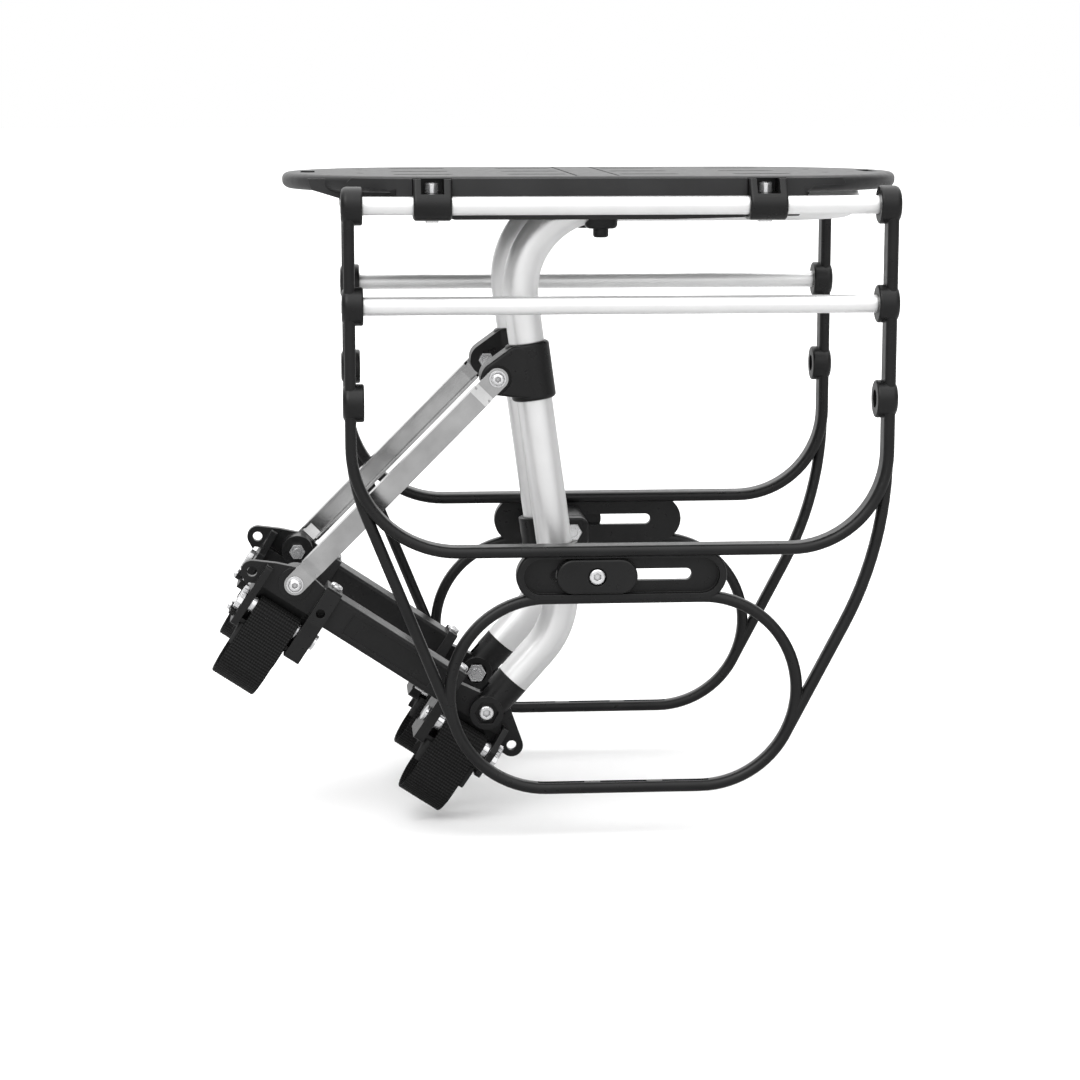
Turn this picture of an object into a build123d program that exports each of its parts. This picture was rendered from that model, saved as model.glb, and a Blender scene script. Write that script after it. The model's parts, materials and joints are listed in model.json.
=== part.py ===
from build123d import *
import os
from math import acos, atan2, cos, degrees, hypot, radians, sin

# Frame: millimetres, origin on the flat top of the deck, +X to the rear of the bicycle,
# +Y to its right-hand side, +Z up.  Every "left" piece sits at negative Y; the right-hand
# pieces are its mirror image in the X-Z plane.

# ---- gaps between pieces ----
RUN = 0.05            # radial clearance of a running fit
SEAT = 0.02           # clearance of a fixed seat

# ---- deck ----
DECK_HALF_LENGTH = 175
DECK_HALF_WIDTH = 96
DECK_TIP_RADIUS = 105
DECK_CORNER_RADIUS = 72
DECK_RIM_DEPTH = 8.8
DECK_SKIN = 3.4
PATTERN_X = -3.3      # middle of the slot pattern
SLOT_PITCH = 62.4
SKIRT_DEPTH = 10.6

# ---- bent main tube ----
TUBE_R = 10
TUBE_WALL = 1.8
TUBE_Y = 54
TUBE_Z = -16
TUBE_BEND_R = 48
U_BEND_X = 92
LEG_TOP_CORNER = (-50.4, TUBE_Z)
LEG_LOW_CORNER = (-18.0, -250.9)
TUBE_END = (-47.7, -284.4)
SADDLE_X = 1.5        # place of the two saddles that bolt the deck to the tube

# ---- tilt linkage, X and Z ----
LEG_PIVOT = (-63.3, -302.0)
COLLAR_PIVOT = (-56.7, -112.1)
STRUT_PIVOT = (-170.1, -226.2)
STRUT_WIDTH = 12

# ---- rails and side frames ----
RAIL_R = 5
FRAME_Y = 100
RAIL_Z = (-15.5, -69)
EMPTY_BOSS_Z = -121
POST_FRONT_X = -138.4
POST_REAR_X = 155.4
BOSS_R = 10.35
BOSS_LENGTH = 11.6
BAR_WIDTH = 6.2
BAR_DEPTH = 9
POST_DEPTH = 15
LOW_BAR_Z = -203
BRANCH_KNEE_Z = (-163, -203.3)     # front, rear: where the V branches turn in from the posts
BRANCH_RADIUS = (110, 200)
LOW_LOOP = (10.7, -283)
LOW_LOOP_LENGTH = 199
LOW_LOOP_HEIGHT = 113.4
LOW_LOOP_BAR = 6.3
SLOT_PLATE_X = 9
SLOT_PLATE_Z = -217
SLOT_PLATE_LENGTH = 116
SLOT_PLATE_HEIGHT = 28
CAP_X = -4.8

# ---- deck clips ----
CLIP_X = (-93.4, 87.4)
CLIP_LENGTH = 20.6
CLIP_BOLT_Y = -90.2

# ---- stay bracket, in its own frame: x down along the stay, y across, z away from the stay ----
STAY_ORIGIN = (-197.7, -TUBE_Y, -233.3)
STAY_SLOPE = 33.6
STAY_R = 13.8
STAY_AXIS_Z = -31.5
SPOOL_Y = -8
SPOOL_Z = -1.5
SPOOL_SHAFT_R = 3.6
SPOOL_DRUM_R = 4.6
ROLL_R = 7.6
STRAP_THICKNESS = 1.4
ANCHOR_Y = 12
ANCHOR_Z = -9
ANCHOR_R = 2.2
RATCHET_TEETH = 12
RATCHET_TIP_R = 7.2
RATCHET_ROOT_R = 6.0
RATCHET_PHASE = -102
PAWL_Y = 3.5
PAWL_Z = -10.5
PAWL_LIFT = 9
BAY_UPPER = (4, 35.2)
BAY_LOWER = (128, 163)
UPPER_WALL_END = 44.8
ACCESS_HOLE = (39.8, 15.2)
BEAM_SCREW_X = (40.5, 125)
STRAP_UPPER = (6.8, 33.9)
STRAP_LOWER = (132, 159.1)
EAR_UPPER = (-4.8, 14)
EAR_LOWER = (174, 7.7)
EAR_HOLE_R = 2.85


# ---------------------------------------------------------------- helpers
def block(x0, x1, y0, y1, z0, z1):
    """Box between two opposite corners."""
    return Pos((x0 + x1) / 2, (y0 + y1) / 2, (z0 + z1) / 2) * Box(x1 - x0, y1 - y0, z1 - z0)


def rod_x(x0, x1, radius, y=0, z=0):
    """Cylinder along X."""
    return Pos((x0 + x1) / 2, y, z) * Rot(0, 90, 0) * Cylinder(radius, x1 - x0)


def rod_y(y0, y1, radius, x=0, z=0):
    """Cylinder along Y."""
    return Pos(x, (y0 + y1) / 2, z) * Rot(90, 0, 0) * Cylinder(radius, y1 - y0)


def rod_z(z0, z1, radius, x=0, y=0):
    """Cylinder along Z."""
    return Pos(x, y, (z0 + z1) / 2) * Cylinder(radius, z1 - z0)


def hex_y(y0, y1, across_flats, x=0, z=0):
    """Hexagonal prism along Y."""
    outline = Pos(x, z) * RegularPolygon(across_flats / 2, 6, major_radius=False)
    return slab(outline, y0, y1)


def slab(outline, y0, y1):
    """Solid from an outline drawn in X and Z, between two Y values."""
    return extrude(Plane.XZ.offset(-y1) * outline, y1 - y0)


def profile_x(outline, x0, x1):
    """Solid from an outline drawn in Y and Z, between two X values."""
    return extrude(Plane.YZ.offset(x0) * outline, x1 - x0)


def disc(radius, centre):
    return Pos(*centre) * Circle(radius)


def hull(*faces):
    """Convex outline round several flat shapes."""
    edges = []
    for face in faces:
        edges += face.edges()
    return make_hull(edges)


def polar(radius, angle, centre):
    return (centre[0] + radius * cos(radians(angle)), centre[1] + radius * sin(radians(angle)))


def path_xz(*points, radius):
    """Path in the X-Z plane with rounded corners."""
    return Plane.XZ * FilletPolyline(*points, radius=radius)


def bar_along(path, width, depth, corner):
    """Bar of rounded rectangular section swept along a path in the X-Z plane."""
    start = Plane(origin=path @ 0, x_dir=(0, 1, 0), z_dir=path % 0)
    section = start * RectangleRounded(depth, width, corner)
    return sweep(section, path=path)


def cap_screw(length, shank_r, head_r, head_h, socket_af):
    """Socket screw along -Z, with the underside of its head at the origin."""
    head = rod_z(0, head_h, head_r)
    head = chamfer(head.edges().group_by(Axis.Z)[-1], 0.6)
    socket = RegularPolygon(socket_af / 2, 6, major_radius=False)
    head -= extrude(Pos(0, 0, 0.4 * head_h) * socket, head_h)
    return head + rod_z(-length, 0.1, shank_r)


def button_screw(length, shank_r, head_r, head_h, socket_af):
    """Button-head screw along -Z, with the underside of its head at the origin."""
    head = rod_z(0, head_h, head_r)
    head = fillet(head.edges().group_by(Axis.Z)[-1], head_h * 0.6)
    head -= extrude(Pos(0, 0, head_h * 0.45) * RegularPolygon(socket_af / 2, 6, major_radius=False), head_h)
    return head + rod_z(-length, 0.1, shank_r)


def screw_toward(piece, position, toward):
    """Turn a screw drawn along -Z so that its shank points along a direction."""
    turned = Plane(origin=position, z_dir=[-component for component in toward])
    return turned * piece


def right(piece):
    """Right-hand twin of a left-hand piece."""
    return mirror(piece, about=Plane.XZ)


# ---------------------------------------------------------------- main tube
def tube_path():
    side = FilletPolyline(TUBE_END, LEG_LOW_CORNER, LEG_TOP_CORNER, (U_BEND_X, TUBE_Z),
                          radius=TUBE_BEND_R)
    near = Plane.XZ.offset(TUBE_Y) * side
    far = Plane.XZ.offset(-TUBE_Y) * side
    bend = Pos(0, 0, TUBE_Z) * CenterArc((U_BEND_X, 0), TUBE_Y, -90, 180)
    return Wire([*near.edges(), *bend.edges(), *far.edges()])


def tube_solid(radius):
    path = tube_path()
    start = Plane(origin=path @ 0, z_dir=path % 0)
    return sweep(start * Circle(radius), path=path)


def leg_x(z):
    """X of the leg axis at a height."""
    slope = (LEG_LOW_CORNER[0] - LEG_TOP_CORNER[0]) / (LEG_LOW_CORNER[1] - LEG_TOP_CORNER[1])
    return LEG_TOP_CORNER[0] + (z - LEG_TOP_CORNER[1]) * slope


def leg_direction():
    run = LEG_TOP_CORNER[0] - LEG_LOW_CORNER[0]
    rise = LEG_TOP_CORNER[1] - LEG_LOW_CORNER[1]
    return Vector(run, 0, rise).normalized()


def on_leg(z):
    """Plane square to the left leg axis at a height."""
    return Plane(origin=(leg_x(z), -TUBE_Y, z), x_dir=(0, 1, 0), z_dir=leg_direction())


def main_tube():
    tube = tube_solid(TUBE_R) - tube_solid(TUBE_R - TUBE_WALL)
    for y in (-TUBE_Y, TUBE_Y):
        tube -= rod_z(TUBE_Z - 14, TUBE_Z + 14, 2.7, SADDLE_X, y)
    return tube


def tube_saddles(envelope):
    """Curved washers that seat the dome nuts under the tube."""
    saddles = []
    for y in (-TUBE_Y, TUBE_Y):
        body = block(SADDLE_X - 9, SADDLE_X + 9, y - 8, y + 8, -30, -20)
        body = fillet(body.edges().filter_by(Axis.Z), 5)
        body = fillet(body.edges().group_by(Axis.Z)[0], 2.6)
        body -= envelope
        body -= rod_z(-30, -15, 2.7, SADDLE_X, y)
        saddles.append(body.solids().sort_by(Axis.Z)[0])
    return saddles


def deck_studs():
    return [rod_z(-33, -1.6, 2.5, SADDLE_X, y) for y in (-TUBE_Y, TUBE_Y)]


def dome_nuts():
    """Round plastic-covered nuts on the studs."""
    nuts = []
    for y in (-TUBE_Y, TUBE_Y):
        nut = rod_z(-35, -30, 4.3, SADDLE_X, y)
        nut = fillet(nut.edges().group_by(Axis.Z)[0], 1.6)
        nuts.append(nut - rod_z(-33.2, -28, 2.5 + SEAT, SADDLE_X, y))
    return nuts


# ---------------------------------------------------------------- foot of the leg
def foot_direction():
    return Vector(TUBE_END[0] - LEG_PIVOT[0], 0, TUBE_END[1] - LEG_PIVOT[1]).normalized()


def stay_point(pivot):
    """A point of the X-Z plane in the bracket's own frame."""
    run = pivot[0] - STAY_ORIGIN[0]
    rise = pivot[1] - STAY_ORIGIN[2]
    slope = radians(STAY_SLOPE)
    return (run * cos(slope) - rise * sin(slope), run * sin(slope) + rise * cos(slope))


def leg_plug():
    """Forked plug pressed into the end of the left leg."""
    pivot = Vector(LEG_PIVOT[0], -TUBE_Y, LEG_PIVOT[1])
    axis = Plane(origin=pivot, x_dir=(0, 1, 0), z_dir=foot_direction())
    reach = (Vector(TUBE_END[0], -TUBE_Y, TUBE_END[1]) - pivot).length
    body = axis * rod_z(2, reach - SEAT, TUBE_R)
    body += rod_y(-TUBE_Y - 10, -TUBE_Y + 10, 9.5, *LEG_PIVOT)
    body += axis * rod_z(reach - 0.5, reach + 16, TUBE_R - TUBE_WALL - SEAT)
    body -= axis * block(-4.2, 4.2, -30, 30, -30, 13.5)
    body -= rod_y(-TUBE_Y - 12, -TUBE_Y + 12, 3 + RUN, *LEG_PIVOT)
    body -= hex_y(-TUBE_Y - 11, -TUBE_Y - 6.5, 12, *LEG_PIVOT)
    body -= rod_y(-TUBE_Y + 6.5, -TUBE_Y + 11, 6.3, *LEG_PIVOT)
    return body


def leg_bolt():
    """Pivot bolt of the left leg, held by the stay bracket."""
    x, z = LEG_PIVOT
    bolt = screw_toward(cap_screw(18.4, 3, 4, 4, 4), (x, -TUBE_Y - 6.6, z), (0, 1, 0))
    return bolt


def leg_nut():
    x, z = LEG_PIVOT
    return hex_y(-TUBE_Y + 6.6, -TUBE_Y + 10.6, 10, x, z) - rod_y(-60, -40, 3 + SEAT, x, z)


# ---------------------------------------------------------------- collar and strut
def collar():
    """Sleeve that slides on the left leg, with the lug for the strut."""
    plane = on_leg(-108.7)
    sleeve = rod_z(-16, 16, 12.4)
    sleeve = plane * fillet(sleeve.edges().filter_by(GeomType.CIRCLE), 2)
    shoulder = disc(8, (leg_x(-101) - 6.5, -102))
    foot = disc(4, (leg_x(-120) - 3, -119.5))
    lug = slab(hull(disc(9.4, COLLAR_PIVOT), shoulder, foot), -TUBE_Y - 12.2, -TUBE_Y + 9)
    lug = fillet(lug.edges().group_by(Axis.Y)[0], 1.6)
    body = sleeve + lug
    body -= plane * rod_z(-40, 40, TUBE_R + RUN)
    strut_way = Rot(0, 0, 45.2) * Pos(-15, 0) * Rectangle(30, 15.4)
    pocket = Pos(*COLLAR_PIVOT) * (Circle(7.7) + strut_way)
    body -= slab(pocket, -TUBE_Y - 15, -TUBE_Y - 10)
    body -= rod_y(-80, -30, 2.5 + SEAT, *COLLAR_PIVOT)
    return body.solids().sort_by(SortBy.VOLUME)[-1]


def strut_length():
    run = COLLAR_PIVOT[0] - STRUT_PIVOT[0]
    rise = COLLAR_PIVOT[1] - STRUT_PIVOT[1]
    return Vector(run, 0, rise).length


def strut():
    """Left strut: a channel with a flat eye at each end.  Its upper eye is bored large."""
    length = strut_length()
    half = STRUT_WIDTH / 2
    edge = [(0, -12.2), (9.5, -12.2), (15.6, -14.5), (length / 2, -14.5)]
    inner = [(x, y + 2) for x, y in reversed(edge)]
    web = extrude(Pos(0, 0, -half) * make_face(Polyline(*edge, *inner, close=True)), STRUT_WIDTH)
    web += block(11.5, length / 2, -13.4, -7, half - 1.6, half)
    web += block(11.5, length / 2, -13.4, -7, -half, -half + 1.6)
    web += Pos(length, 0, 0) * mirror(web, about=Plane.YZ)
    body = web + rod_y(-12.2, -10.2, half) + rod_y(-12.2, -10.2, half, length)
    body -= rod_y(-20, 0, 2.5 + RUN)
    body -= rod_y(-20, 0, 3.5, length)
    angle = degrees(atan2(COLLAR_PIVOT[1] - STRUT_PIVOT[1], COLLAR_PIVOT[0] - STRUT_PIVOT[0]))
    return Location((STRUT_PIVOT[0], -TUBE_Y, STRUT_PIVOT[1]), (0, -angle, 0)) * body


def strut_screw(pivot, length):
    """Button screw with its washer, through a strut eye of the left side."""
    x, z = pivot
    seat_y = -TUBE_Y - 12.2 - RUN
    screw = screw_toward(button_screw(length, 2.5, 3.75, 3.2, 3), (x, seat_y - 0.8, z), (0, 1, 0))
    washer = rod_y(seat_y - 0.8, seat_y, 4.7, x, z) - rod_y(-80, -30, 2.5, x, z)
    return screw + washer


def strut_nut(pivot, y0):
    x, z = pivot
    return hex_y(y0, y0 + 4, 8, x, z) - rod_y(-80, 0, 2.5 + SEAT, x, z)


# ---------------------------------------------------------------- deck
def deck_outline(grow=0):
    """Plan of the deck, moved outward by grow."""
    band = Rectangle(3 * DECK_HALF_LENGTH, 2 * (DECK_HALF_WIDTH + grow))
    centre_x = DECK_HALF_LENGTH - DECK_TIP_RADIUS
    tips = disc(DECK_TIP_RADIUS + grow, (-centre_x, 0)) + disc(DECK_TIP_RADIUS + grow, (centre_x, 0))
    tips += Rectangle(2 * centre_x, 2 * (DECK_TIP_RADIUS + grow))
    return fillet((tips & band).vertices(), DECK_CORNER_RADIUS + grow)


def deck_skirt():
    """Raised panel round the rim, stepped up at both ends to clear the sliding bosses."""
    panel = make_face(Polyline(
        (-138.8, -3.5), (-136.5, -1.2), (130.5, -1.2), (132.7, -3.5), (132.0, -5.0),
        (114.2, -5.0), (108.6, -SKIRT_DEPTH), (-112.3, -SKIRT_DEPTH), (-118.6, -6.8),
        (-138, -6.8), close=True))
    ring = deck_outline(0.8) - deck_outline(-3)
    ring = extrude(Pos(0, 0, -SKIRT_DEPTH) * ring, SKIRT_DEPTH - 1)
    return ring & slab(panel, -120, 120)


def deck_keels():
    """Walls that hold the tube from both sides, and the floor ribs."""
    outer = make_face(Polyline(
        (-160, -2), (-158, -8), (-140, -13.5), (-96, -20), (-80, -24.5), (40, -24.5),
        (110, -22.8), (113, -20), (118, -2), close=True))
    keels = []
    for y in (-TUBE_Y - 13, TUBE_Y + 10.3):
        keels.append(slab(outer, y, y + 2.7))
    inner = make_face(Polyline((-70, -2), (-62, -16), (86, -16), (92, -2), close=True))
    for y in (-TUBE_Y + 10.3, TUBE_Y - 13):
        keels.append(slab(inner, y, y + 2.7))
    for x in (-126, -95, -64, -33, -2, 29, 60, 91, 122):
        keels.append(block(x - 1.2, x + 1.2, -88, 88, -DECK_RIM_DEPTH + 0.6, -2))
    keels.append(block(-160, 160, -1.2, 1.2, -DECK_RIM_DEPTH + 0.6, -2))
    return keels


def deck_openings():
    """Lightening slots, the two grooves across the middle and the openings at the tips."""
    cuts = []
    for row in (-1.5, -0.5, 0.5, 1.5):
        for y in (0, -58, 58):
            slot = Pos(PATTERN_X + row * SLOT_PITCH, y, -6) * SlotOverall(33, 7)
            cuts.append(extrude(slot, 8))
    for x in (PATTERN_X - 11.4, PATTERN_X + 11.4):
        cuts.append(block(x - 0.8, x + 0.8, -88, 88, -0.8, 1))
    for x in (-160.5, 160.5):
        cuts.append(extrude(Pos(x, 0, -6) * RectangleRounded(8, 34, 3), 8))
    for y in (-32, 32):
        for x in (-131, 131):
            cuts.append(rod_z(-6, 2, 2.2, x, y))
    return cuts


def deck(envelope):
    body = extrude(Pos(0, 0, -DECK_RIM_DEPTH) * deck_outline(), DECK_RIM_DEPTH)
    body = fillet(body.edges().group_by(Axis.Z)[-1], 3.6)
    body = fillet(body.edges().group_by(Axis.Z)[0], 4.2)
    body -= extrude(Pos(0, 0, -DECK_RIM_DEPTH) * deck_outline(-9), DECK_RIM_DEPTH - DECK_SKIN)
    body += deck_skirt()
    for keel in deck_keels():
        body += keel
    for y in (-TUBE_Y, TUBE_Y):
        body += rod_z(-9, -2, 6, SADDLE_X, y)
    body -= envelope
    for cut in deck_openings():
        body -= cut
    for y in (-FRAME_Y, FRAME_Y):
        body -= rod_x(-200, -112.3, BOSS_R + 0.4, y, RAIL_Z[0])
        body -= rod_x(108.6, 200, BOSS_R + 0.4, y, RAIL_Z[0])
    half = CLIP_LENGTH / 2 + 0.3
    for x in CLIP_X:
        for side in (-1, 1):
            near, far = sorted((side * 84.6, side * 110))
            body -= block(x - half, x + half, near, far, -30, -1.2)
    for stud in deck_studs():
        body -= stud
    return body.solids().sort_by(SortBy.VOLUME)[-1]


# ---------------------------------------------------------------- deck clips
def deck_clip(x):
    """Clip on the left edge of the deck, closed round the top rail by a vertical bolt."""
    half = CLIP_LENGTH / 2
    rail_z = RAIL_Z[0]
    flange = Pos(-92.6, (rail_z - 8 - 1.4) / 2) * Rectangle(15, -1.4 - (rail_z - 8))
    outline = hull(disc(8, (-FRAME_Y, rail_z)), flange)
    body = profile_x(outline, x - half, x + half)
    body = fillet(body.edges().filter_by(GeomType.CIRCLE), 1.6)
    body -= rod_x(x - 20, x + 20, RAIL_R + RUN, -FRAME_Y, rail_z)
    body -= block(x - 20, x + 20, -96, -80, rail_z - 0.5, rail_z + 0.5)
    body -= block(x - 6.2, x + 6.2, -120, -85.9, -9.3, 1)
    body -= rod_z(-30, -5, 2.5 + SEAT, x, CLIP_BOLT_Y)
    body -= block(x - 3.6, x + 3.6, CLIP_BOLT_Y - 3.6, CLIP_BOLT_Y + 3.6, -30, -21.5)
    return body


def clip_bolt(x):
    return Pos(x, CLIP_BOLT_Y, -9.3 + SEAT) * cap_screw(15.4, 2.5, 3.9, 5.9, 4)


def clip_nut(x):
    nut = block(x - 3.5, x + 3.5, CLIP_BOLT_Y - 3.5, CLIP_BOLT_Y + 3.5, -24.8, -21.6)
    nut = fillet(nut.edges().filter_by(Axis.Z), 1)
    return nut - rod_z(-30, -15, 2.5 + SEAT, x, CLIP_BOLT_Y)


# ---------------------------------------------------------------- side frames
def frame_boss(z, front):
    """Boss across a post, well rounded on its outer end."""
    if front:
        x0 = POST_FRONT_X - 4.1
    else:
        x0 = POST_REAR_X + 4.1 - BOSS_LENGTH
    boss = rod_x(x0, x0 + BOSS_LENGTH, BOSS_R, 0, z)
    rims = boss.edges().filter_by(GeomType.CIRCLE).sort_by(Axis.X, reverse=not front)
    boss = fillet(rims[0], 3.4)
    rims = boss.edges().filter_by(GeomType.CIRCLE).sort_by(Axis.X, reverse=front)
    return fillet(rims[0], 1.2)


def loop_touch(x, z):
    """Point where a straight bar from (x, z) meets the centre line of the lower loop along its tangent."""
    radius = (LOW_LOOP_HEIGHT - LOW_LOOP_BAR) / 2
    side = 1 if x > LOW_LOOP[0] else -1
    end_x = LOW_LOOP[0] + side * (LOW_LOOP_LENGTH - LOW_LOOP_HEIGHT) / 2
    run = x - end_x
    rise = z - LOW_LOOP[1]
    angle = atan2(rise, run) - side * acos(radius / hypot(run, rise))
    return (end_x + radius * cos(angle), LOW_LOOP[1] + radius * sin(angle))


def frame_paths():
    """Centre lines of the bars, with the width and depth of each."""
    loop = path_xz((POST_FRONT_X, -12), (POST_FRONT_X, LOW_BAR_Z), (POST_REAR_X, LOW_BAR_Z),
                   (POST_REAR_X, -12), radius=(58, 53))
    paths = [(loop, BAR_WIDTH, POST_DEPTH)]
    for x, z, radius in zip((POST_FRONT_X, POST_REAR_X), BRANCH_KNEE_Z, BRANCH_RADIUS):
        branch = path_xz((x, -128), (x, z), loop_touch(x, z), radius=(radius,))
        paths.append((branch, BAR_WIDTH, BAR_DEPTH))
    return paths


def side_frame():
    """Left side frame: posts, V branches, slot plate and lower loop in one moulding."""
    body = None
    for path, width, depth in frame_paths():
        bar = bar_along(path, width, depth, BAR_WIDTH / 2 - 0.05)
        body = bar if body is None else body + bar
    opening = SlotOverall(LOW_LOOP_LENGTH - 2 * LOW_LOOP_BAR, LOW_LOOP_HEIGHT - 2 * LOW_LOOP_BAR)
    low_loop = Pos(*LOW_LOOP) * (SlotOverall(LOW_LOOP_LENGTH, LOW_LOOP_HEIGHT) - opening)
    low_loop = slab(low_loop, -BAR_DEPTH / 2, BAR_DEPTH / 2)
    low_loop = fillet(low_loop.edges().group_by(Axis.Y)[0] + low_loop.edges().group_by(Axis.Y)[-1], 3)
    body += low_loop
    centre = (SLOT_PLATE_X, SLOT_PLATE_Z)
    plate = slab(Pos(*centre) * SlotOverall(SLOT_PLATE_LENGTH, SLOT_PLATE_HEIGHT), -4.8, 4.5)
    plate = fillet(plate.edges().group_by(Axis.Y)[0], 1.6)
    body += plate
    recess = SlotOverall(SLOT_PLATE_LENGTH - 8, SLOT_PLATE_HEIGHT - 8)
    body -= slab(Pos(*centre) * recess, -10, 0.2)
    body -= slab(Pos(*centre) * SlotOverall(78, 6.6), -20, 20)
    for z in (*RAIL_Z, EMPTY_BOSS_Z):
        for front in (True, False):
            body += frame_boss(z, front)
        body -= rod_x(POST_FRONT_X + 1.4, POST_REAR_X - 1.4, RAIL_R + SEAT, 0, z)
    for z in RAIL_Z:
        body -= rod_x(-200, 200, 2.5 + SEAT, 0, z)
        body -= rod_x(-200, POST_FRONT_X - 2.2, 4.4, 0, z)
        body -= rod_x(POST_REAR_X + 2.2, 200, 4.4, 0, z)
    for x in (-24, 10.7, 45.4):
        body -= block(x - 13, x + 13, -1.6, 1.6, -337.2, -332)
    return Pos(0, -FRAME_Y, 0) * body.solids().sort_by(SortBy.VOLUME)[-1]


def rail(z):
    """Left rail at one height, tapped at both ends."""
    x0 = POST_FRONT_X + 1.6
    x1 = POST_REAR_X - 1.6
    body = rod_x(x0, x1, RAIL_R, -FRAME_Y, z)
    body -= rod_x(x0 - 1, x0 + 14, 2.5 + SEAT, -FRAME_Y, z)
    body -= rod_x(x1 - 14, x1 + 1, 2.5 + SEAT, -FRAME_Y, z)
    return body


def rail_screws():
    """Screws into the rail ends of the left side frame."""
    screws = []
    for z in RAIL_Z:
        screw = button_screw(13, 2.5, 4.2, 2.2, 3)
        screws.append(screw_toward(screw, (POST_FRONT_X - 2.2 - SEAT, -FRAME_Y, z), (1, 0, 0)))
        screws.append(screw_toward(screw, (POST_REAR_X + 2.2 + SEAT, -FRAME_Y, z), (-1, 0, 0)))
    return screws


# ---------------------------------------------------------------- leg clamp and sliding cap
def leg_clamp():
    """Clamp round the left leg with the arm that carries the side frame."""
    plane = on_leg(SLOT_PLATE_Z)
    band = plane * rod_z(-10, 10, 13)
    arm = block(CAP_X - 13, CAP_X + 9.5, -FRAME_Y + 4.6, -TUBE_Y + 9, -226, -208)
    arm = fillet(arm.edges().filter_by(Axis.Y), 5)
    arm = fillet(arm.edges().group_by(Axis.Y)[-1], 1.5)
    body = band + arm
    body -= plane * rod_z(-30, 30, TUBE_R + SEAT)
    body -= block(CAP_X - 14, CAP_X + 20, -TUBE_Y - 0.8, -TUBE_Y + 0.8, -240, -190)
    body -= rod_y(-110, -30, 3 + SEAT, CAP_X, SLOT_PLATE_Z)
    body -= hex_y(-TUBE_Y + 4, -TUBE_Y + 12, 10.2, CAP_X, SLOT_PLATE_Z)
    return body.solids().sort_by(SortBy.VOLUME)[-1]


def sliding_cap():
    """Cap in the recess of the left slot plate."""
    centre = (CAP_X, SLOT_PLATE_Z)
    body = slab(Pos(*centre) * SlotOverall(44.7, 19.4), -FRAME_Y - 6.4, -FRAME_Y + 0.1)
    body = fillet(body.edges().group_by(Axis.Y)[0], 1.4)
    body += slab(Pos(*centre) * SlotOverall(14, 6.3), -FRAME_Y, -FRAME_Y + 4.55)
    body -= rod_y(-120, -80, 3 + SEAT, *centre)
    body -= rod_y(-120, -FRAME_Y - 3.4, 5.2, *centre)
    return body


def slider_bolt():
    position = (CAP_X, -FRAME_Y - 3.4 - SEAT, SLOT_PLATE_Z)
    return screw_toward(cap_screw(57, 3, 4.2, 3.6, 4), position, (0, 1, 0))


def slider_nut():
    nut = hex_y(-TUBE_Y + 4.1, -TUBE_Y + 8, 10, CAP_X, SLOT_PLATE_Z)
    return nut - rod_y(-60, -30, 3 + SEAT, CAP_X, SLOT_PLATE_Z)


# ---------------------------------------------------------------- stay bracket (own frame)
def to_stay(piece):
    """Place a piece drawn in the bracket's own frame on the left seat stay."""
    return Location(STAY_ORIGIN, (0, STAY_SLOPE, 0)) * piece


def bracket_bay(x0, x1):
    """Column and floor between the two walls of a strap bay."""
    return block(x0, x1, 0.6, 4, -13, 10) + block(x0, x1, -12, 4, -13, -10.6)


def bracket_walls():
    upper_front = hull(disc(2, (-12.8, 20.5)), disc(2, (0, 20.5)), disc(2, (12, 8)),
                       disc(2, (-12.8, -14)), disc(2, (12, -14)))
    upper_rear = hull(disc(2, (-10.5, 28)), disc(2, (9, 28)), disc(2, (-12.8, 8)), disc(2, (12, 8)),
                      disc(2, (-12.8, -14)), disc(2, (12, -14)))
    low_rear = hull(disc(2, (-8, 13)), disc(2, (1.5, 13)), disc(2, (-12.8, 0)), disc(2, (12, 0)),
                    disc(2, (-12.8, -14)), disc(2, (12, -14)))
    walls = profile_x(upper_front, 0, BAY_UPPER[0])
    walls += profile_x(upper_rear, BAY_UPPER[1], UPPER_WALL_END)
    walls += profile_x(upper_rear, 122, BAY_LOWER[0])
    walls += profile_x(low_rear, BAY_LOWER[1], 166.3)
    return walls


def bracket_plates():
    """Ear plates, the strut boss and the leg lug."""
    strut_boss = stay_point(STRUT_PIVOT)
    leg_lug = stay_point(LEG_PIVOT)
    crown = disc(12.5, (9, 13.8))
    ear = hull(disc(6.2, EAR_UPPER), crown, disc(9.2, strut_boss), disc(2, (38, 25)), disc(2, (38, 12)))
    ear -= make_face(Polyline((-3, -9), (-3, 7.8), (1.5, 10), (60, 10), (60, -9), close=True))
    plates = slab(ear, -9, -4)
    plates += rod_y(-10, 8, 9.2, *strut_boss)
    plates += block(4, 40, -9, 4, 10, 13)
    lug = hull(disc(8.2, leg_lug), disc(1, (126, 10)), disc(1, (164, 10)), disc(1, (126, 21)))
    plates += slab(lug, -4, 4)
    tail = hull(disc(6.5, EAR_LOWER), disc(9, (155.5, 18.5)), disc(2, (160, 4)))
    plates += slab(tail, -0.4, 3.9)
    return plates


def bracket_beam():
    """Hollow beam between the two bays, open towards the stay, with cross ribs."""
    beam = block(44, 123, -11, 11, 8.5, 28)
    beam = fillet(beam.edges().filter_by(Axis.X), 2)
    beam -= block(49, 120, -8.6, 8.6, 0, 25.4)
    beam -= block(56, 113, -12, -10.2, 12, 24.5)
    for x in (60, 72, 84, 96, 108):
        beam += block(x - 1, x + 1, -9, 9, 14, 26)
    return beam


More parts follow.
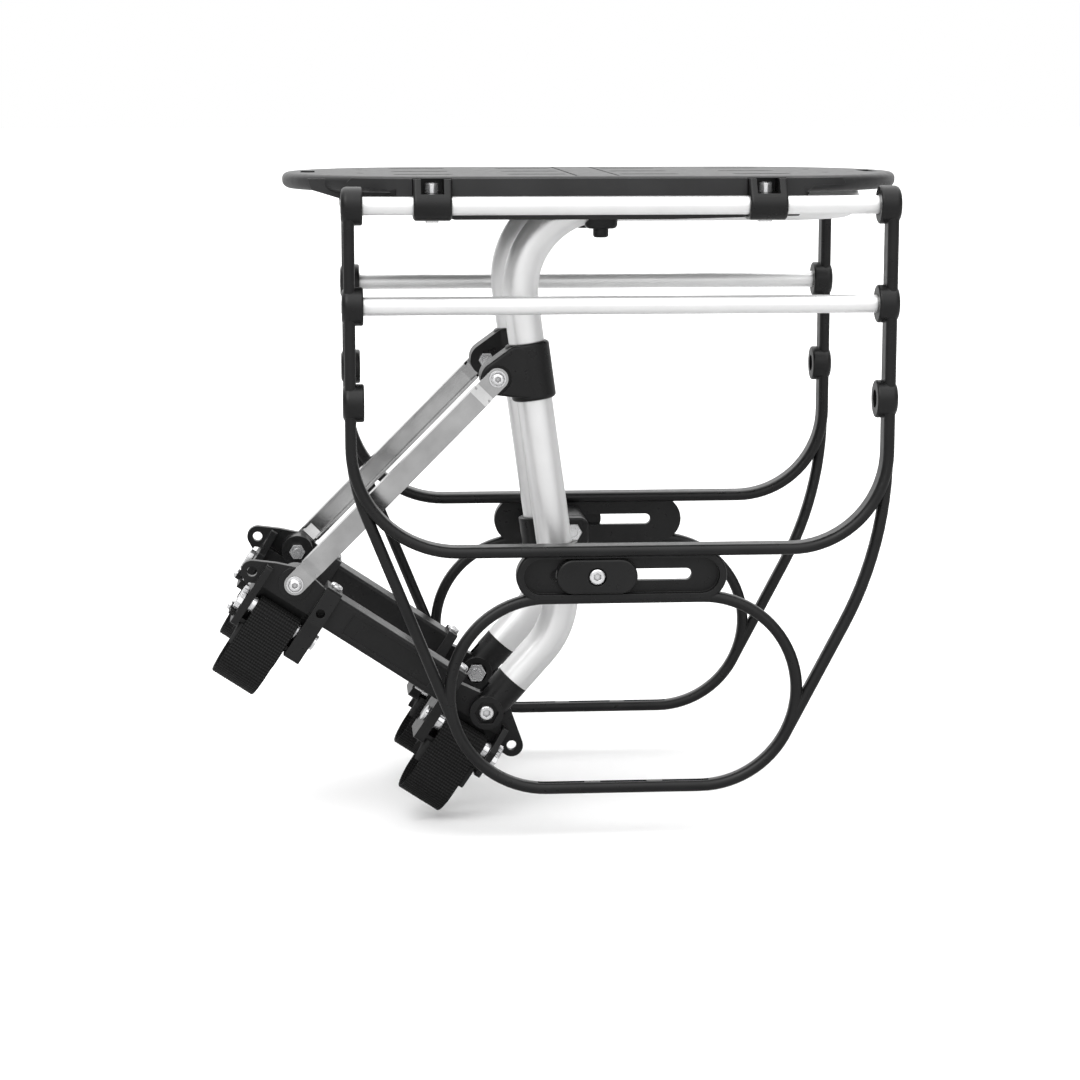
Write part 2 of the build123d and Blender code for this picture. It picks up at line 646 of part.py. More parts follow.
def stay_bracket():
    """Left stay bracket, one moulding."""
    body = bracket_walls() + bracket_beam() + bracket_plates()
    body += bracket_bay(*BAY_UPPER) + bracket_bay(*BAY_LOWER)
    for x0, x1 in ((-1, 5), (34, 46), (121, 129), (162, 168)):
        body -= rod_x(x0, x1, SPOOL_SHAFT_R + RUN, SPOOL_Y, SPOOL_Z)
        body -= rod_x(x0, x1, ANCHOR_R + SEAT, ANCHOR_Y, ANCHOR_Z)
    body -= rod_y(-30, 30, 2.5 + SEAT, *stay_point(STRUT_PIVOT))
    body -= rod_y(-30, 30, 3 + SEAT, *stay_point(LEG_PIVOT))
    body -= rod_y(-30, 30, EAR_HOLE_R, *EAR_UPPER)
    body -= rod_y(-30, 30, EAR_HOLE_R, *EAR_LOWER)
    body -= rod_y(-20, -5, 2.6, *ACCESS_HOLE)
    for x in BEAM_SCREW_X:
        body -= rod_z(16, 40, 2 + SEAT, x, 0)
    for x in (-1, 167):
        body -= rod_x(x - 6, x + 6, 1.5 + SEAT, PAWL_Y, PAWL_Z)
    return body.solids().sort_by(SortBy.VOLUME)[-1]


def beam_screws():
    """Screws on the beam ends, over the two bays."""
    screw = button_screw(13, 2, 3.6, 2.4, 2.5)
    return [Pos(x, 0, 30 + SEAT) * screw for x in BEAM_SCREW_X]


def stay_pad(x0, x1):
    """Rubber saddle between the bracket and the stay."""
    body = block(x0 + 1, x1 - 1, -13.3, 13.3, -26, -13.05)
    body = fillet(body.edges().filter_by(Axis.Z), 2)
    return body - rod_x(x0 - 5, x1 + 5, STAY_R, 0, STAY_AXIS_Z)


def strap(x0, x1):
    """Webbing from the roll on the spool, under the stay, to the anchor pin."""
    roll = (SPOOL_Y, SPOOL_Z)
    stay = (0, STAY_AXIS_Z)
    anchor = (ANCHOR_Y, ANCHOR_Z)
    inner_r = STAY_R + 0.1
    pin_r = ANCHOR_R + 0.1
    belt = hull(disc(ROLL_R, roll), disc(inner_r + STRAP_THICKNESS, stay),
                disc(pin_r + STRAP_THICKNESS, anchor))
    belt -= hull(disc(ROLL_R - STRAP_THICKNESS, roll), disc(inner_r, stay), disc(pin_r, anchor))
    belt -= make_face(Polyline(roll, (SPOOL_Y, 12), (25, 12), (25, ANCHOR_Z), anchor, close=True))
    belt += disc(ROLL_R, roll) - disc(SPOOL_DRUM_R + 0.1, roll)
    belt += disc(pin_r + STRAP_THICKNESS, anchor) - disc(pin_r, anchor)
    return profile_x(belt, x0, x1)


def anchor_pin(x0, x1):
    return rod_x(x0, x1, ANCHOR_R, ANCHOR_Y, ANCHOR_Z)


def ratchet_outline():
    centre = (SPOOL_Y, SPOOL_Z)
    points = []
    for tooth in range(RATCHET_TEETH):
        angle = RATCHET_PHASE + tooth * 360 / RATCHET_TEETH
        points.append(polar(RATCHET_TIP_R, angle, centre))
        points.append(polar(RATCHET_ROOT_R, angle, centre))
    return make_face(Polyline(*points, close=True))


def spool(bay, wheel_x, shaft_end):
    """Drum in its bay, with a ratchet wheel at one end and a button at the other."""
    low, high = sorted((wheel_x[0], shaft_end))
    body = rod_x(low, max(high, wheel_x[1]), SPOOL_SHAFT_R, SPOOL_Y, SPOOL_Z)
    body += rod_x(bay[0] + 0.3, bay[1] - 0.3, SPOOL_DRUM_R, SPOOL_Y, SPOOL_Z)
    body += profile_x(ratchet_outline(), *wheel_x)
    button_x = shaft_end if shaft_end > wheel_x[0] else shaft_end + 1.6
    body += rod_x(button_x - 1.6, button_x, 4.6, SPOOL_Y, SPOOL_Z)
    socket = extrude(RegularPolygon(2, 6, major_radius=False), 6)
    socket = Plane.YZ * Pos(SPOOL_Y, SPOOL_Z) * socket
    outer = wheel_x[0] - 0.1 if wheel_x[0] < shaft_end else wheel_x[1] - 5.9
    return body - Pos(outer, 0, 0) * socket


def pawl(x0, x1):
    """Pawl beside a ratchet wheel, drawn engaged and then lifted clear."""
    centre = (SPOOL_Y, SPOOL_Z)
    pivot = Vector(PAWL_Y, PAWL_Z)
    contact = Vector(*polar(6.7, RATCHET_PHASE + 1.3, centre))
    forward = (contact - pivot).normalized()
    outward = Vector(-forward.Y, forward.X)
    if outward.dot(pivot - Vector(*centre)) < 0:
        outward = -outward
    reach = (contact - pivot).length
    steps = ((0, -0.2), (6.5, 0.75), (reach + 1.6, 0.75), (reach + 1.2, 2.6), (0, 2.8))
    corners = [pivot + forward * along + outward * across for along, across in steps]
    arm = make_face(Polyline(*[(p.X, p.Y) for p in corners], close=True))
    nose = make_face(Polyline(polar(6.15, RATCHET_PHASE + 2.2, centre),
                              polar(7.7, RATCHET_PHASE + 1.5, centre),
                              polar(7.7, RATCHET_PHASE + 22, centre), close=True))
    hub = disc(2.8, (PAWL_Y, PAWL_Z))
    outline = arm + nose + hub - disc(1.5 + RUN, (PAWL_Y, PAWL_Z))
    lifted = Pos(PAWL_Y, PAWL_Z) * Rot(0, 0, PAWL_LIFT) * Pos(-PAWL_Y, -PAWL_Z) * outline
    return profile_x(lifted, x0, x1)


def pawl_screw(face_x, outward):
    """Shoulder screw that holds a pawl on the outer face of a wall."""
    seat = face_x + outward * 3.3
    screw = button_screw(5.8, 1.5, 2.6, 1.6, 1.5)
    return screw_toward(screw, (seat, PAWL_Y, PAWL_Z), (-outward, 0, 0))


# ---------------------------------------------------------------- assembly
def build_parts():
    envelope = tube_solid(TUBE_R + SEAT)
    clips = [deck_clip(x) for x in CLIP_X]
    bolts = [clip_bolt(x) for x in CLIP_X]
    nuts = [clip_nut(x) for x in CLIP_X]
    bay_spools = {
        "upper": (BAY_UPPER, (-3.2, -0.4), 46.8, STRAP_UPPER),
        "lower": (BAY_LOWER, (166.7, 169.5), 120.1, STRAP_LOWER),
    }
    parts = {
        "deck": deck(envelope),
        "main_tube": main_tube(),
        "tube_saddles": tube_saddles(envelope),
        "deck_studs": deck_studs(),
        "dome_nuts": dome_nuts(),
        "deck_clips": clips + [right(piece) for piece in clips],
        "clip_bolts": bolts + [right(piece) for piece in bolts],
        "clip_nuts": nuts + [right(piece) for piece in nuts],
    }
    paired = {
        "leg_plug": leg_plug(),
        "collar": collar(),
        "strut": strut(),
        "side_frame": side_frame(),
        "top_rail": rail(RAIL_Z[0]),
        "middle_rail": rail(RAIL_Z[1]),
        "rail_screws": rail_screws(),
        "leg_clamp": leg_clamp(),
        "sliding_cap": sliding_cap(),
        "stay_bracket": to_stay(stay_bracket()),
        "collar_screw": strut_screw(COLLAR_PIVOT, 27),
        "collar_nut": strut_nut(COLLAR_PIVOT, -TUBE_Y + 9),
    }
    shared = {
        "leg_bolts": [leg_bolt()],
        "leg_nuts": [leg_nut()],
        "strut_screws": [strut_screw(STRUT_PIVOT, 26)],
        "strut_nuts": [strut_nut(STRUT_PIVOT, -TUBE_Y + 8)],
        "slider_bolts": [slider_bolt()],
        "slider_nuts": [slider_nut()],
        "beam_screws": [to_stay(piece) for piece in beam_screws()],
        "anchor_pins": [to_stay(anchor_pin(0.5, 41)), to_stay(anchor_pin(123, 166))],
        "pawl_screws": [to_stay(pawl_screw(0, -1)), to_stay(pawl_screw(166.3, 1))],
    }
    for name, (bay, wheel_x, shaft_end, webbing) in bay_spools.items():
        paired["stay_pad_" + name] = to_stay(stay_pad(*bay))
        paired["strap_" + name] = to_stay(strap(*webbing))
        paired["spool_" + name] = to_stay(spool(bay, wheel_x, shaft_end))
        paired["pawl_" + name] = to_stay(pawl(*wheel_x))
    for name, piece in paired.items():
        parts[name + "_left"] = piece
        if isinstance(piece, list):
            parts[name + "_right"] = [right(one) for one in piece]
        else:
            parts[name + "_right"] = right(piece)
    for name, pieces in shared.items():
        parts[name] = pieces + [right(piece) for piece in pieces]
    return parts


os.makedirs("parts", exist_ok=True)
for node, shape in build_parts().items():
    if isinstance(shape, list):
        shape = Compound([solid for piece in shape for solid in piece.solids()])
    export_step(shape, "parts/" + node + ".step")
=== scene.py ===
import json
from math import acos, atan2, cos, pi, radians, sin

import bpy
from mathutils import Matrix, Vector


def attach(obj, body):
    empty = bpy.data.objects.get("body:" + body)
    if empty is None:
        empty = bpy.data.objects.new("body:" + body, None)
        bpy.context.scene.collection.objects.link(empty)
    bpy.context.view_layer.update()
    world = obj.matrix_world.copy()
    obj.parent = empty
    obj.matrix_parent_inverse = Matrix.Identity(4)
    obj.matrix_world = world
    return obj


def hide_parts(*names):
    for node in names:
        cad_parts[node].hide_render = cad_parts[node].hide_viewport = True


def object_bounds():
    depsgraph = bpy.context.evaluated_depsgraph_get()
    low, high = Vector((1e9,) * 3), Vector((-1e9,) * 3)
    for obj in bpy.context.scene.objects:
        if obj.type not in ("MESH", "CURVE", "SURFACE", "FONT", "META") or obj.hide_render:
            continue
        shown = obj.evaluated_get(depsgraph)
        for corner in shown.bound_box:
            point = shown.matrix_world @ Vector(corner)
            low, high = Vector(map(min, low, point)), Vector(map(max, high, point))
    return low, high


MM = 0.001

# Webbing straps, in the section square to the stay: u across the bicycle, v away from the stay.
STRAP_THICKNESS = 1.4 * MM
STRAP_MARGIN = 0.3 * MM        # how far the webbing stays inside its CAD stand-in at each side
STAY_GAP = 0.1 * MM            # between the webbing and the stay
RIB_PITCH = 1.45 * MM
RIB_HEIGHT = 0.28 * MM
RIB_FULLNESS = 0.7             # below 1 the ribs are fuller than a sine wave
SELVEDGE = 0.5 * MM            # width over which the webbing thins towards its edges
THREAD_PITCH = 1.8 * MM
SAMPLES_PER_RIB = 6
PATH_STEP = 1.6 * MM
ROLL_RADIUS = 7.6 * MM
ROLL_TURNS = 1.75
ROLL_LAYER = 0.95 * STRAP_THICKNESS
ANCHOR_ACROSS = 20 * MM        # anchor pin beside the spool
ANCHOR_DROP = 7.5 * MM
ANCHOR_RADIUS = 2.3 * MM
ANCHOR_WRAP = 1.35 * pi        # how far the webbing goes round the anchor pin

# Materials.
PATTERN_LOW = 0.25             # part of the 0 to 1 range of a noise pattern that is used
PATTERN_HIGH = 0.75
BEVEL_SAMPLES = 6
WAVE_RATE = 20                 # radians that a wave texture of scale 1 turns per metre
SHADE_REACH = 2 * MM          # width of the sockets and corners that get painted shade in metal
# near-black colour painted as shade into the sockets and corners of metal
PAINTED_SHADE = (0.02, 0.02, 0.02)
FLOOR_IN_REFLECTIONS = (0.35, 0.35, 0.35)

# Studio.
FLOOR_DROP = 4 * MM            # gap between the part's lowest point and the floor
FLOOR_SIZE = 60                # metres
GLOW = 1.0                     # brightness of the room as light, in front
SIDE_GLOW = 0.3                # the same at both sides
TOP_GLOW = 1.8                 # how many times brighter the room is overhead
BACKDROP = 1.0                 # brightness of the room as the camera sees it
SUNS = {                       # place the light comes from, strength, width in degrees
    "key": ((-0.9, -1.2, 1.6), 0.8, 40),
    "top": ((0.2, 0.4, 2.0), 0.7, 70),
}
CAMERA_PLACE = (-0.14754, -1.552, 0.04402)
CAMERA_PITCH = 80.6            # degrees up from straight down
CAMERA_TURN = -4.4             # degrees about the vertical, from looking along +Y
CAMERA_LENS = 90               # mm, on a sensor 36 mm wide
CAMERA_SENSOR = 36


# ---------------------------------------------------------------- small helpers
def unit(angle):
    """Flat vector of length 1 at an angle."""
    return Vector((cos(angle), sin(angle)))


def arc(centre, radius, start, end):
    """Points along a circle, from one angle to another."""
    count = max(2, int(abs(end - start) * radius / PATH_STEP) + 1)
    return [centre + radius * unit(start + (end - start) * i / count) for i in range(count + 1)]


def tangent_angle(c1, r1, c2, r2, side):
    """Angle at which a line touches two circles on the same side."""
    gap = c2 - c1
    return atan2(gap.y, gap.x) + side * acos((r1 - r2) / gap.length)


# ---------------------------------------------------------------- materials
def new_material(name, colour, roughness, metallic=0.0):
    """Material with its node tree and its Principled shader."""
    material = bpy.data.materials.new(name)
    material.use_nodes = True
    tree = material.node_tree
    shader = tree.nodes["Principled BSDF"]
    shader.inputs["Base Color"].default_value = (*colour, 1)
    shader.inputs["Roughness"].default_value = roughness
    shader.inputs["Metallic"].default_value = metallic
    return material, tree, shader


def noise(tree, size, detail=3.0, stretch=(1, 1, 1)):
    """Noise whose blobs are about size metres wide, longer where stretch is below 1."""
    coords = tree.nodes.new("ShaderNodeTexCoord")
    mapping = tree.nodes.new("ShaderNodeMapping")
    mapping.inputs["Scale"].default_value = stretch
    texture = tree.nodes.new("ShaderNodeTexNoise")
    texture.inputs["Scale"].default_value = 1 / size
    texture.inputs["Detail"].default_value = detail
    tree.links.new(coords.outputs["Object"], mapping.inputs["Vector"])
    tree.links.new(mapping.outputs["Vector"], texture.inputs["Vector"])
    return texture.outputs["Fac"]


def spread(tree, value, low, high):
    """Turn a 0 to 1 pattern into values between low and high."""
    node = tree.nodes.new("ShaderNodeMapRange")
    node.inputs["From Min"].default_value = PATTERN_LOW
    node.inputs["From Max"].default_value = PATTERN_HIGH
    node.inputs["To Min"].default_value = low
    node.inputs["To Max"].default_value = high
    tree.links.new(value, node.inputs["Value"])
    return node.outputs["Result"]


def tint(tree, pattern, first, second):
    """First colour where the pattern is 0 and second where it is 1; each may be another node's output."""
    node = tree.nodes.new("ShaderNodeMix")
    node.data_type = "RGBA"
    for name, colour in (("A", first), ("B", second)):
        if isinstance(colour, bpy.types.NodeSocket):
            tree.links.new(colour, node.inputs[name])
        else:
            node.inputs[name].default_value = (*colour, 1)
    tree.links.new(pattern, node.inputs["Factor"])
    return node.outputs["Result"]


def rounded_normal(tree, radius):
    """Surface direction as if the sharp edges were rounded."""
    bevel = tree.nodes.new("ShaderNodeBevel")
    bevel.samples = BEVEL_SAMPLES
    bevel.inputs["Radius"].default_value = radius
    return bevel.outputs["Normal"]


def edge_wear(tree, radius):
    """1 on sharp edges and 0 on flat faces."""
    geometry = tree.nodes.new("ShaderNodeNewGeometry")
    dot = tree.nodes.new("ShaderNodeVectorMath")
    dot.operation = "DOT_PRODUCT"
    tree.links.new(rounded_normal(tree, radius), dot.inputs[0])
    tree.links.new(geometry.outputs["Normal"], dot.inputs[1])
    ramp = tree.nodes.new("ShaderNodeMapRange")
    ramp.inputs["From Min"].default_value = 0.995
    ramp.inputs["From Max"].default_value = 0.8
    tree.links.new(dot.outputs["Value"], ramp.inputs["Value"])
    return ramp.outputs["Result"]


def relief(tree, shader, height, distance, edge_radius):
    """Bump on top of softly rounded edges."""
    bump = tree.nodes.new("ShaderNodeBump")
    bump.inputs["Strength"].default_value = 1.0
    bump.inputs["Distance"].default_value = distance
    tree.links.new(height, bump.inputs["Height"])
    tree.links.new(rounded_normal(tree, edge_radius), bump.inputs["Normal"])
    tree.links.new(bump.outputs["Normal"], shader.inputs["Normal"])


def moulded_plastic(name, dark, light, worn, roughness, sheen, grain, depth, edge=0.5 * MM):
    """Grained plastic with slightly paler edges and uneven gloss."""
    material, tree, shader = new_material(name, dark, roughness)
    cloud = spread(tree, noise(tree, 22 * MM, 4), 0, 1)
    clean = tint(tree, cloud, dark, light)
    base = tint(tree, edge_wear(tree, 0.5 * MM), clean, worn)
    tree.links.new(base, shader.inputs["Base Color"])
    gloss = spread(tree, noise(tree, 5 * MM, 5), roughness - 0.05, roughness + 0.06)
    tree.links.new(gloss, shader.inputs["Roughness"])
    shader.inputs["Specular IOR Level"].default_value = sheen
    relief(tree, shader, noise(tree, grain, 2), depth, edge)
    return material


def hollow_shade(tree, reach):
    """Mask of the painted shade: 1 on open faces and lower inside sockets and corners narrower than
    reach.
    """
    occlusion = tree.nodes.new("ShaderNodeAmbientOcclusion")
    occlusion.samples = 8
    occlusion.inputs["Distance"].default_value = reach
    return occlusion.outputs["AO"]


def metal(name, dark, light, roughness, shine, grain, depth, stretch=(1, 1, 1), edge=0.25 * MM):
    """Metal with a fine surface and painted shade in its sockets and corners; shine is the share of it
    that mirrors, the rest is a pale coat.
    """
    material, tree, shader = new_material(name, light, roughness, shine)
    cloud = spread(tree, noise(tree, 16 * MM, 5), 0, 1)
    clean = tint(tree, cloud, dark, light)
    # Painted shade: ambient occlusion darkens the colour towards near-black in sockets and corners.
    unshaded_share = spread(tree, hollow_shade(tree, SHADE_REACH), 0, 1)
    tree.links.new(tint(tree, unshaded_share, PAINTED_SHADE, clean), shader.inputs["Base Color"])
    gloss = spread(tree, noise(tree, 3 * MM, 6, stretch), roughness - 0.02, roughness + 0.03)
    tree.links.new(gloss, shader.inputs["Roughness"])
    relief(tree, shader, noise(tree, grain, 2, stretch), depth, edge)
    return material


def deck_plastic():
    """Charcoal plastic of the deck."""
    return moulded_plastic("deck_plastic", dark=(0.016, 0.016, 0.0165), light=(0.024, 0.024, 0.0245),
                           worn=(0.05, 0.05, 0.051), roughness=0.36, sheen=0.32,
                           grain=0.55 * MM, depth=0.05 * MM)


def black_plastic():
    """Black plastic of the frames, clips and clamps."""
    return moulded_plastic("black_plastic", dark=(0.006, 0.006, 0.0062), light=(0.010, 0.010, 0.0102),
                           worn=(0.022, 0.022, 0.0223), roughness=0.30, sheen=0.28,
                           grain=0.8 * MM, depth=0.02 * MM)


def rubber():
    """Dull rubber of the stay pads."""
    return moulded_plastic("rubber", dark=(0.012, 0.012, 0.012), light=(0.02, 0.02, 0.02),
                           worn=(0.03, 0.03, 0.03), roughness=0.75, sheen=0.2,
                           grain=0.4 * MM, depth=0.04 * MM)


def satin_aluminium():
    """Satin tube."""
    return metal("satin_aluminium", dark=(0.90, 0.90, 0.90), light=(0.95, 0.95, 0.95),
                 roughness=0.34, shine=0.8, grain=0.5 * MM, depth=0.002 * MM)


def rail_aluminium():
    """Satin bar, with a grain drawn out along X."""
    return metal("rail_aluminium", dark=(0.90, 0.90, 0.90), light=(0.95, 0.95, 0.95),
                 roughness=0.36, shine=0.7, grain=0.4 * MM, depth=0.001 * MM, stretch=(0.1, 1, 1))


def polished_aluminium():
    """Bright channel of the struts."""
    return metal("polished_aluminium", dark=(0.46, 0.46, 0.46), light=(0.66, 0.66, 0.66),
                 roughness=0.16, shine=1.0, grain=0.7 * MM, depth=0.01 * MM, stretch=(0.15, 1, 0.3))


def plated_steel():
    """Bright screws, nuts, pins and spools."""
    return metal("plated_steel", dark=(0.80, 0.80, 0.81), light=(0.95, 0.95, 0.96),
                 roughness=0.18, shine=0.8, grain=0.6 * MM, depth=0.01 * MM)


def webbing():
    """Woven black nylon: rows of cross threads on top of the modelled ribs."""
    material, tree, shader = new_material("webbing", (0.004, 0.004, 0.004), 0.62)
    uv = tree.nodes.new("ShaderNodeUVMap")
    wave = tree.nodes.new("ShaderNodeTexWave")
    wave.wave_type = "BANDS"
    wave.bands_direction = "Y"
    wave.inputs["Scale"].default_value = 2 * pi / (WAVE_RATE * THREAD_PITCH)
    wave.inputs["Distortion"].default_value = 0.3
    tree.links.new(uv.outputs["UV"], wave.inputs["Vector"])
    threads = wave.outputs["Fac"]
    black = tint(tree, threads, (0.0015, 0.0015, 0.0015), (0.010, 0.010, 0.010))
    tree.links.new(black, shader.inputs["Base Color"])
    tree.links.new(spread(tree, noise(tree, 2 * MM, 4), 0.5, 0.7), shader.inputs["Roughness"])
    shader.inputs["Specular IOR Level"].default_value = 0.2
    bump = tree.nodes.new("ShaderNodeBump")
    bump.inputs["Distance"].default_value = 0.3 * MM
    tree.links.new(threads, bump.inputs["Height"])
    tree.links.new(bump.outputs["Normal"], shader.inputs["Normal"])
    return material


def paper_white():
    """White floor that looks grey in reflections, so that the tubes keep a darker underside."""
    material, tree, shader = new_material("paper_white", (0.9, 0.9, 0.9), 1.0)
    paper = tint(tree, noise(tree, 300 * MM, 2), (0.9, 0.9, 0.9), (0.93, 0.93, 0.93))
    rays = tree.nodes.new("ShaderNodeLightPath")
    seen = tint(tree, rays.outputs["Is Glossy Ray"], paper, FLOOR_IN_REFLECTIONS)
    tree.links.new(seen, shader.inputs["Base Color"])
    return material


# ---------------------------------------------------------------- straps
def strap_path(roll, stay, stay_radius, anchor):
    """Middle line of the webbing: off its roll, round the stay and round the anchor pin."""
    half = STRAP_THICKNESS / 2
    outer = ROLL_RADIUS - half
    belt = stay_radius + STAY_GAP + half
    pin = ANCHOR_RADIUS + half
    leave = tangent_angle(roll, outer, stay, belt, -1)
    join = tangent_angle(stay, belt, anchor, pin, -1)
    while join < leave:
        join += 2 * pi
    points = []
    turns = 2 * pi * ROLL_TURNS
    steps = int(turns * outer / PATH_STEP)
    start_radius = outer - ROLL_TURNS * ROLL_LAYER
    for i in range(steps):
        share = i / steps
        radius = start_radius + (outer - start_radius) * share
        points.append(roll + radius * unit(leave - turns * (1 - share)))
    first = roll + outer * unit(leave)
    touch = stay + belt * unit(leave)
    points += straight(first, touch)
    points += arc(stay, belt, leave, join)
    lift = stay + belt * unit(join)
    land = anchor + pin * unit(join)
    points += straight(lift, land)[1:]
    points += arc(anchor, pin, join, join + ANCHOR_WRAP)
    return points


def straight(a, b):
    """Points from a towards b, without b itself."""
    count = max(1, int((b - a).length / PATH_STEP))
    return [a.lerp(b, i / count) for i in range(count)]


def rib_heights(width):
    """Samples across the strap: place, from 0 to 1, and height of the ribbed surface."""
    ribs = round(width / RIB_PITCH)
    count = ribs * SAMPLES_PER_RIB
    rows = []
    for i in range(count + 1):
        share = i / count
        wave = abs(sin(pi * share * ribs)) ** RIB_FULLNESS
        edge = min(share, 1 - share) * width
        selvedge = min(1, edge / SELVEDGE)
        rows.append((share, STRAP_THICKNESS / 2 * selvedge ** 0.5 - RIB_HEIGHT * (1 - wave)))
    return rows


def ribbed_band(name, path, width, place):
    """Closed mesh of a ribbed band; place turns (along stay, u, v) into a point of the frame."""
    rows = rib_heights(width)
    around = [(share, height) for share, height in rows]
    around += [(share, -height) for share, height in reversed(rows)]
    vertices = []
    coords = []
    length = 0
    for i, point in enumerate(path):
        before = path[max(i - 1, 0)]
        after = path[min(i + 1, len(path) - 1)]
        along = (after - before).normalized()
        normal = Vector((along.y, -along.x))
        if i:
            length += (point - path[i - 1]).length
        for share, height in around:
            spot = point + normal * height
            vertices.append(place((share - 0.5) * width, spot.x, spot.y))
            coords.append((share * width, length))
    ring = len(around)
    faces = []
    for i in range(len(path) - 1):
        for j in range(ring):
            k = (j + 1) % ring
            faces.append((i * ring + j, i * ring + k, (i + 1) * ring + k, (i + 1) * ring + j))
    faces.append(tuple(reversed(range(ring))))
    faces.append(tuple(range((len(path) - 1) * ring, len(path) * ring)))
    mesh = bpy.data.meshes.new(name)
    mesh.from_pydata(vertices, [], faces)
    layer = mesh.uv_layers.new(name="UVMap")
    for loop in mesh.loops:
        layer.data[loop.index].uv = coords[loop.vertex_index]
    mesh.shade_smooth()
    band = bpy.data.objects.new(name, mesh)
    bpy.context.scene.collection.objects.link(band)
    return band


def model_strap(level, side, frame, material):
    """Ribbed webbing in place of the plain band of one strap node."""
    record = frame["record"]
    joint = named(record["behaviour"]["joints"], f"spool_turn_{level}_{side}")
    mount = named(record["mounts"], f"stay_seat_{level}_{side}")
    stay_axis = Vector(mount["axis"]).normalized()
    out = -1 if side == "left" else 1
    across = Vector((0, -out, 0))
    away = stay_axis.cross(Vector((0, 1, 0)))
    if away.z < 0:
        away = -away
    node = f"strap_{level}_{side}"
    low, high = strap_reach(frame["nodes"][node], stay_axis)
    origin = Vector(mount["pos_m"])
    origin += stay_axis * ((low + high) / 2 - origin.dot(stay_axis))
    roll_place = Vector(joint["pos_m"]) - origin
    roll = Vector((roll_place.dot(across), roll_place.dot(away)))
    anchor = roll + Vector((ANCHOR_ACROSS, -ANCHOR_DROP))
    width = high - low - 2 * STRAP_MARGIN
    path = strap_path(roll, Vector((0, 0)), mount["dims"]["r_mm"] * MM, anchor)

    def place(s, u, v):
        """Point of the frame from its place along the stay, u and v."""
        return origin + stay_axis * s + across * u + away * v

    band = ribbed_band(f"webbing_{level}_{side}", path, width, place)
    band.data.materials.append(material)
    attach(band, "stay_mounts")
    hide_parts(node)


def named(entries, name):
    """Entry with this name in a list of the record."""
    return next(entry for entry in entries if entry["name"] == name)


def strap_reach(solid, axis):
    """Lowest and highest place of a solid's vertices along an axis."""
    places = [vertex.co.dot(axis) for vertex in solid.data.vertices]
    return min(places), max(places)


# ---------------------------------------------------------------- studio
def add_floor(material, low):
    """Large floor just below the lowest point of the part."""
    bpy.ops.mesh.primitive_plane_add(size=FLOOR_SIZE, location=(0, 0, low.z - FLOOR_DROP))
    floor = bpy.context.object
    floor.name = "floor"
    floor.data.materials.append(material)


def soft_sun(name, place, strength, spread_angle):
    """Even light from the direction of a place, soft because it comes from a wide angle."""
    data = bpy.data.lights.new(name, "SUN")
    data.energy = strength
    data.angle = radians(spread_angle)
    lamp = bpy.data.objects.new(name, data)
    lamp.location = place
    lamp.rotation_euler = (-Vector(place)).to_track_quat("-Z", "Y").to_euler()
    bpy.context.scene.collection.objects.link(lamp)


def ramp_between(tree, value, start, end, low, high):
    """Smooth step from low to high as a value goes from start to end."""
    ramp = tree.nodes.new("ShaderNodeMapRange")
    ramp.interpolation_type = "SMOOTHSTEP"
    ramp.inputs["From Min"].default_value = start
    ramp.inputs["From Max"].default_value = end
    ramp.inputs["To Min"].default_value = low
    ramp.inputs["To Max"].default_value = high
    tree.links.new(value, ramp.inputs["Value"])
    return ramp.outputs["Result"]


def arithmetic(tree, operation, *values):
    """Result of a math node on the values."""
    node = tree.nodes.new("ShaderNodeMath")
    node.operation = operation
    for socket, value in zip(node.inputs, values):
        tree.links.new(value, socket)
    return node.outputs["Value"]


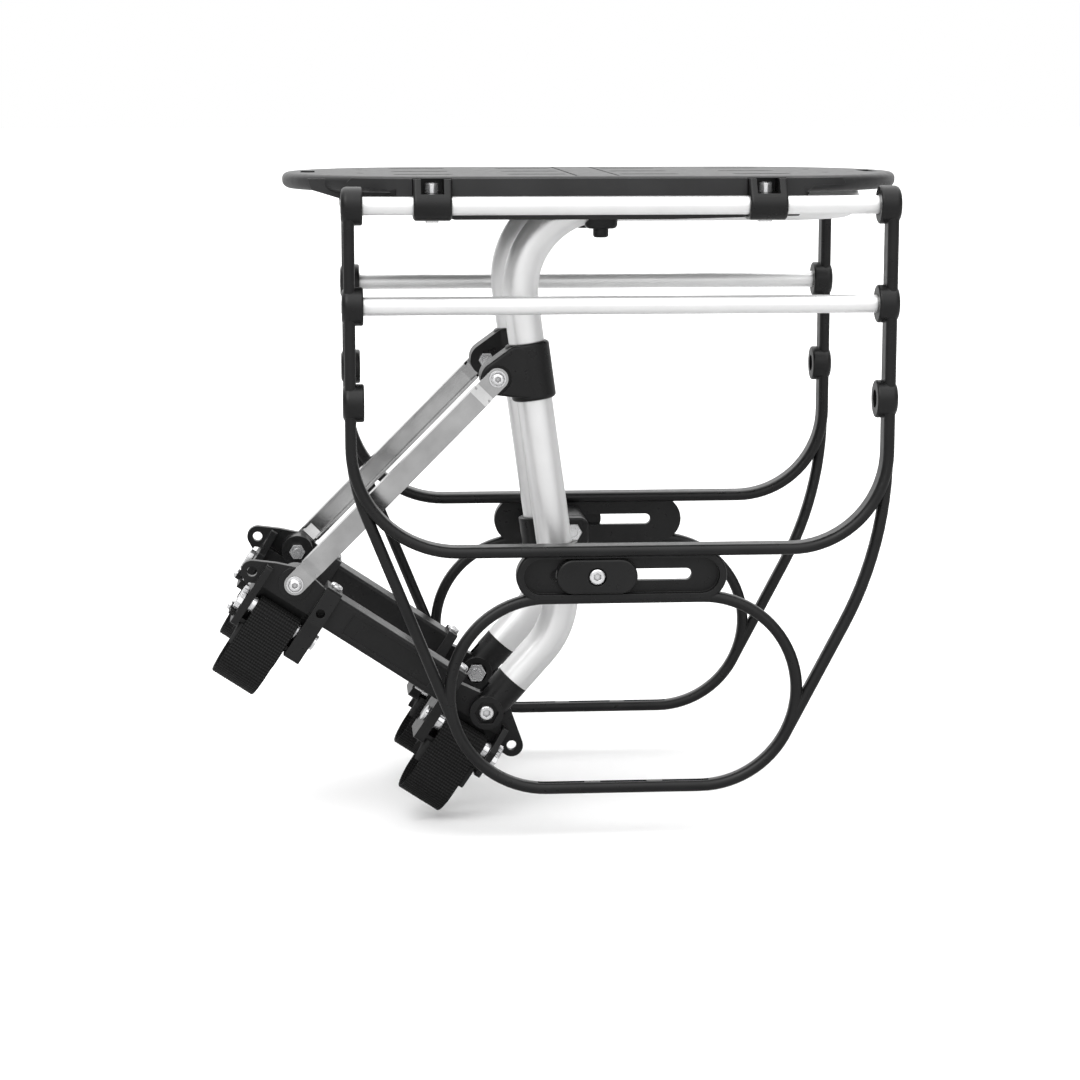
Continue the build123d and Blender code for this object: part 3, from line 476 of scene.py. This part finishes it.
def add_world():
    """White backdrop for the camera; as light, brightest overhead and dim at both sides."""
    world = bpy.data.worlds.new("studio")
    bpy.context.scene.world = world
    world.use_nodes = True
    tree = world.node_tree
    coords = tree.nodes.new("ShaderNodeTexCoord")
    axes = tree.nodes.new("ShaderNodeSeparateXYZ")
    tree.links.new(coords.outputs["Generated"], axes.inputs["Vector"])
    sideways = arithmetic(tree, "ABSOLUTE", axes.outputs["X"])
    level = ramp_between(tree, sideways, 0.4, 0.95, GLOW, SIDE_GLOW)
    height = ramp_between(tree, axes.outputs["Z"], 0.1, 0.7, 1.0, TOP_GLOW)
    glow = arithmetic(tree, "MULTIPLY", level, height)
    rays = tree.nodes.new("ShaderNodeLightPath")
    strength = tree.nodes.new("ShaderNodeMix")
    strength.inputs["B"].default_value = BACKDROP
    tree.links.new(rays.outputs["Is Camera Ray"], strength.inputs["Factor"])
    tree.links.new(glow, strength.inputs["A"])
    background = tree.nodes["Background"]
    background.inputs["Color"].default_value = (1, 1, 1, 1)
    tree.links.new(strength.outputs["Result"], background.inputs["Strength"])
    bpy.context.scene.view_settings.view_transform = "Standard"


def add_camera():
    """Camera on the left side, a little above the deck and looking slightly down."""
    data = bpy.data.cameras.new("camera")
    data.lens = CAMERA_LENS
    data.sensor_width = CAMERA_SENSOR
    camera = bpy.data.objects.new("camera", data)
    camera.location = CAMERA_PLACE
    camera.rotation_euler = (radians(CAMERA_PITCH), 0, radians(CAMERA_TURN))
    bpy.context.scene.collection.objects.link(camera)
    bpy.context.scene.camera = camera


# ---------------------------------------------------------------- the scene
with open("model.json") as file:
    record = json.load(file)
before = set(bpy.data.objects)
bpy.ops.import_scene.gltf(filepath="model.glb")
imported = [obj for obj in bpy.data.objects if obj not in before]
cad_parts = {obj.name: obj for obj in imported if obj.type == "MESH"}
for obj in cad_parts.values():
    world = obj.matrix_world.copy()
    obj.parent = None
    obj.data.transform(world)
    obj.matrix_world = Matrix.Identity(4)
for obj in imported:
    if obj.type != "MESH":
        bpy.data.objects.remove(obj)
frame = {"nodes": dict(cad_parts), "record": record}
cad_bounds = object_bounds()

finishes = {
    "deck_plastic": deck_plastic(),
    "black_plastic": black_plastic(),
    "satin_aluminium": satin_aluminium(),
    "rail_aluminium": rail_aluminium(),
    "polished_aluminium": polished_aluminium(),
    "plated_steel": plated_steel(),
    "rubber": rubber(),
    "webbing": webbing(),
}
for subpart in frame["record"]["subparts"]:
    node = frame["nodes"][subpart["node"]]
    node.data.materials.clear()
    node.data.materials.append(finishes[subpart["material_slot"]])

for level in ("upper", "lower"):
    for side in ("left", "right"):
        model_strap(level, side, frame, finishes["webbing"])

add_floor(paper_white(), cad_bounds[0])
add_world()
for name, (place, strength, width) in SUNS.items():
    soft_sun(name, place, strength, width)
add_camera()
